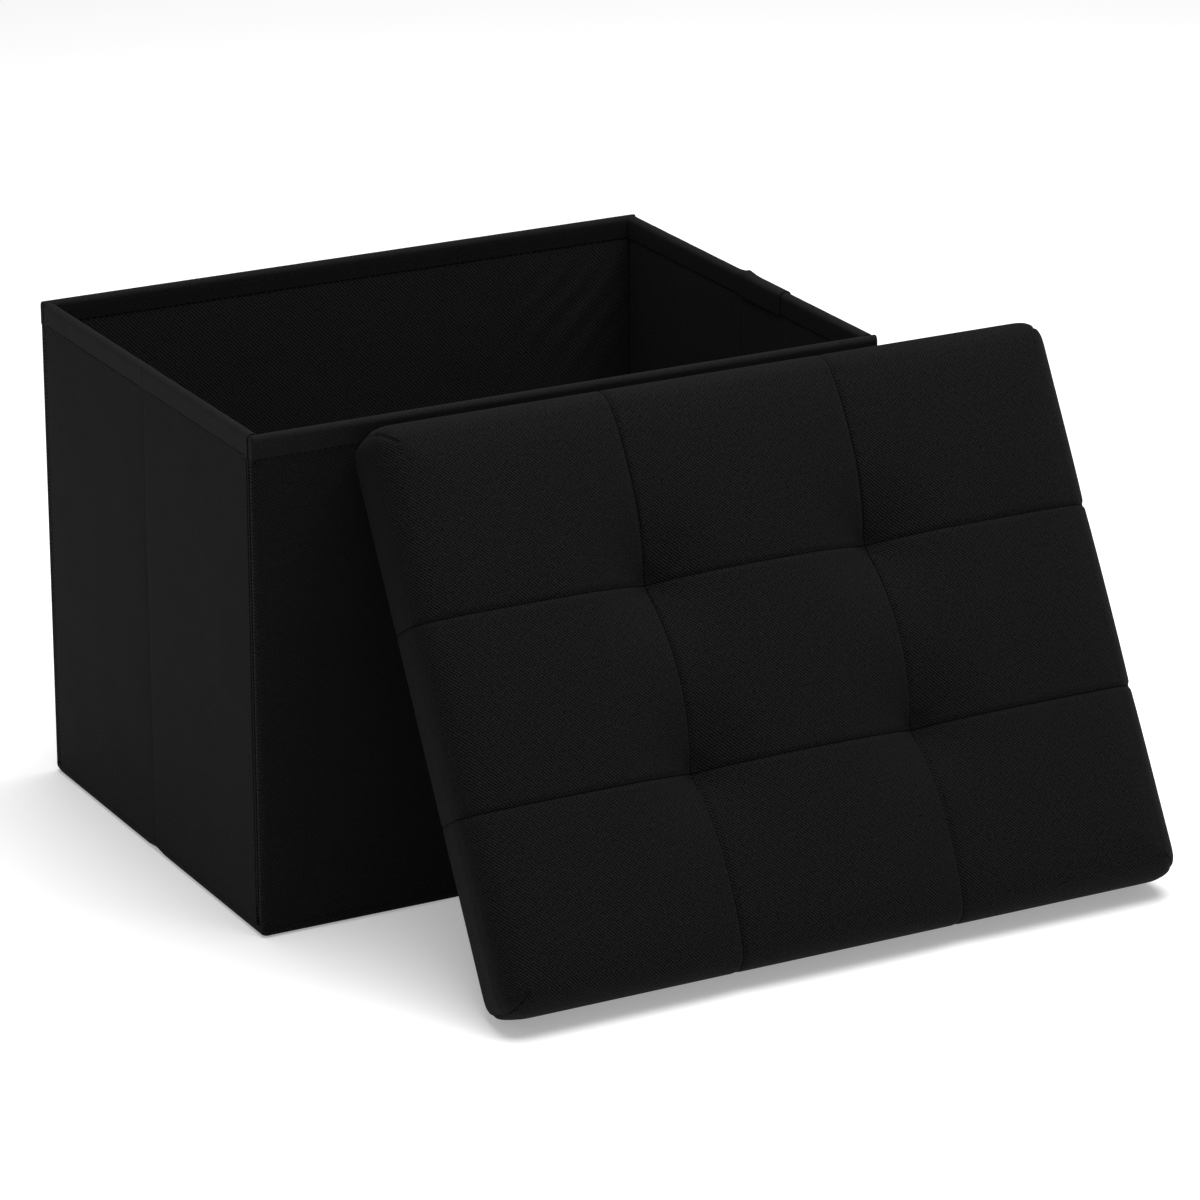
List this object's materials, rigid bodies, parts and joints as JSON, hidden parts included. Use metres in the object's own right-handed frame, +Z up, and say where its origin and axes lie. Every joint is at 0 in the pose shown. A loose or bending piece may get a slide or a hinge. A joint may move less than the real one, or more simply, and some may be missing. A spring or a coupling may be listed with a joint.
{
  "type": "storage ottoman",
  "caption": "Rectangular cloth-covered storage ottoman: an open box that folds flat, a loose base board, and a loose tufted cushioned lid leaning on its front.",
  "frame": {"origin": "centre of the box's footprint, on the floor", "axes": "+X to the right along the long walls, +Y to the back, +Z up; the lid leans on the front wall, on the -Y side"},
  "size_m": [0.5249, 0.5322, 0.326],
  "materials": {
    "cover_cloth": "black linen-look woven polyester, fine weave, dull sheen",
    "lining_cloth": "black cloth lining with a fine diagonal weave",
    "rim_binding": "black woven binding tape, folded over the rim and stitched",
    "seam_thread": "black polyester thread",
    "wall_board": "stiff grey-brown board",
    "base_hardboard": "hardboard",
    "lid_wood": "medium-density fibreboard",
    "foam": "soft upholstery foam",
    "washer_plastic": "white moulded plastic",
    "staple_steel": "zinc-plated wire"
  },
  "bodies": {
    "front_wall": {"front_board": "wall_board", "front_outer_cloth": "cover_cloth", "front_lining": "lining_cloth", "front_rim_binding": "rim_binding", "front_corner_seams": "seam_thread", "base_cloth": "lining_cloth"},
    "left_front_half": {"left_front_board": "wall_board", "left_front_outer_cloth": "cover_cloth", "left_front_lining": "lining_cloth", "left_front_rim_binding": "rim_binding", "left_crease_seam": "seam_thread"},
    "left_rear_half": {"left_rear_board": "wall_board", "left_rear_outer_cloth": "cover_cloth", "left_rear_lining": "lining_cloth", "left_rear_rim_binding": "rim_binding"},
    "back_wall": {"back_board": "wall_board", "back_outer_cloth": "cover_cloth", "back_lining": "lining_cloth", "back_rim_binding": "rim_binding", "rear_corner_seams": "seam_thread"},
    "right_front_half": {"right_front_board": "wall_board", "right_front_outer_cloth": "cover_cloth", "right_front_lining": "lining_cloth", "right_front_rim_binding": "rim_binding", "right_crease_seam": "seam_thread", "binding_lap": "rim_binding"},
    "right_rear_half": {"right_rear_board": "wall_board", "right_rear_outer_cloth": "cover_cloth", "right_rear_lining": "lining_cloth", "right_rear_rim_binding": "rim_binding"},
    "base_board": {"base_board": "base_hardboard", "base_board_cover": "lining_cloth"},
    "lid": {"lid_board": "lid_wood", "lid_front_rail": "lid_wood", "lid_back_rail": "lid_wood", "lid_left_rail": "lid_wood", "lid_right_rail": "lid_wood", "lid_foam": "foam", "lid_cover": "cover_cloth", "lid_lining": "lining_cloth", "tuft_cords": "seam_thread", "tuft_washers": "washer_plastic", "lid_staples": "staple_steel"}
  },
  "joints": [
    {"name": "left_front_fold", "type": "hinge", "parent": "front_wall", "child": "left_front_half", "pos_m": [-0.208, -0.15225, 0.16], "axis": [0, 0, -1], "range_deg": [0, 88]},
    {"name": "left_crease", "type": "hinge", "parent": "left_front_half", "child": "left_rear_half", "pos_m": [-0.2155, 0, 0.16], "axis": [0, 0, 1], "range_deg": [0, 176]},
    {"name": "back_wall_fold", "type": "hinge", "parent": "left_rear_half", "child": "back_wall", "pos_m": [-0.208, 0.15225, 0.16], "axis": [0, 0, -1], "range_deg": [0, 88]},
    {"name": "right_front_fold", "type": "hinge", "parent": "front_wall", "child": "right_front_half", "pos_m": [0.208, -0.15225, 0.16], "axis": [0, 0, 1], "range_deg": [0, 88]},
    {"name": "right_crease", "type": "hinge", "parent": "right_front_half", "child": "right_rear_half", "pos_m": [0.2155, 0, 0.16], "axis": [0, 0, -1], "range_deg": [0, 176]},
    {"name": "base_board_lift", "type": "slide", "parent": "front_wall", "child": "base_board", "axis": [0, 0, 1], "range_m": [0, 0.4]},
    {"name": "lid_lift", "type": "slide", "parent": "front_wall", "child": "lid", "axis": [0, 0, 1], "range_m": [0, 0.36]}
  ],
  "couplings": [
    {"joint": "left_crease", "follows": "left_front_fold", "ratio": 2},
    {"joint": "back_wall_fold", "follows": "left_front_fold", "ratio": 1},
    {"joint": "right_front_fold", "follows": "left_front_fold", "ratio": 1},
    {"joint": "right_crease", "follows": "left_front_fold", "ratio": 2}
  ]
}
